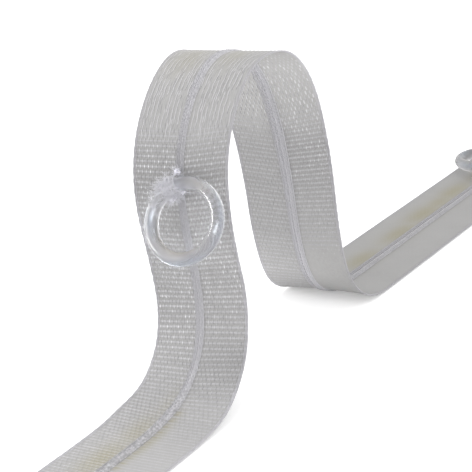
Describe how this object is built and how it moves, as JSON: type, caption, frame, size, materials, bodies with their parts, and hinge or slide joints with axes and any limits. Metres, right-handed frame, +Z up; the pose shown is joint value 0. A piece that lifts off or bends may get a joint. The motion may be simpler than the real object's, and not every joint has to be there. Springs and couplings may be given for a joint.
{
  "type": "roman blind ring tape length",
  "caption": "Cut length of sheer woven tape with a raised centre rib, standing in one curl on a surface, with clear rings tacked to the rib.",
  "frame": {"origin": "middle of the whole object's footprint, on the surface that it stands on", "axes": "+Y along the tape, from the near cut end to the far one; +X to the right across it; +Z up"},
  "size_m": [0.0227, 0.1888, 0.0498],
  "materials": {
    "tape": "sheer open weave of fine polyester, neutral grey with a paler rib",
    "ring": "clear, glossy",
    "thread": "fine translucent thread, slightly fuzzy"
  },
  "bodies": {
    "root": {"tape": "tape", "ring_1": "ring", "ring_2": "ring", "tack_1": "thread", "tack_2": "thread"}
  },
  "joints": []
}
